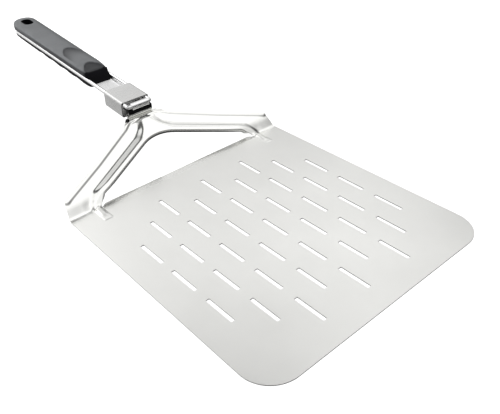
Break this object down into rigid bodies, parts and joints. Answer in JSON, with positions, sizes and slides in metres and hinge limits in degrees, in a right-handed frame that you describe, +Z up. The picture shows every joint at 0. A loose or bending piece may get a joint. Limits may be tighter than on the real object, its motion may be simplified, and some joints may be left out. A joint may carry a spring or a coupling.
{
  "type": "folding pizza peel",
  "caption": "Perforated steel pizza peel with a pressed yoke, a wire-framed handle that folds over the blade, and a sliding collar that locks the hinge.",
  "frame": {"origin": "middle of the footprint, on the plane the blade's underside lies in", "axes": "+X across the blade, +Y towards the handle, +Z up"},
  "size_m": [0.305, 0.7266, 0.0951],
  "materials": {
    "head_steel": "satin, rolled sheet",
    "wire_steel": "polished",
    "brushed_strip": "brushed across the handle",
    "black_plastic": "fine matt texture",
    "grey_plastic": "soft matt",
    "insert_brass": "knurled"
  },
  "bodies": {
    "head": {"peel_head": "head_steel", "hinge_bracket": "head_steel", "hinge_barrel": "wire_steel", "bracket_rivets": "wire_steel"},
    "handle": {"wire_frame": "wire_steel", "spine_plate": "brushed_strip", "grip_core": "black_plastic", "grip_cover": "grey_plastic", "grip_base": "black_plastic", "grip_screws": "wire_steel", "grip_inserts": "insert_brass", "hang_liner": "black_plastic"},
    "collar": {"lock_collar": "brushed_strip", "collar_spring": "wire_steel", "spring_rivets": "wire_steel"}
  },
  "joints": [
    {"name": "handle_fold", "type": "hinge", "parent": "head", "child": "handle", "pos_m": [0, 0.03463, 0.0594], "axis": [1, 0, 0], "range_deg": [0, 184]},
    {"name": "collar_slide", "type": "slide", "parent": "handle", "child": "collar", "axis": [0, 0.9977, 0.068], "range_m": [-0.006, 0.034]}
  ]
}
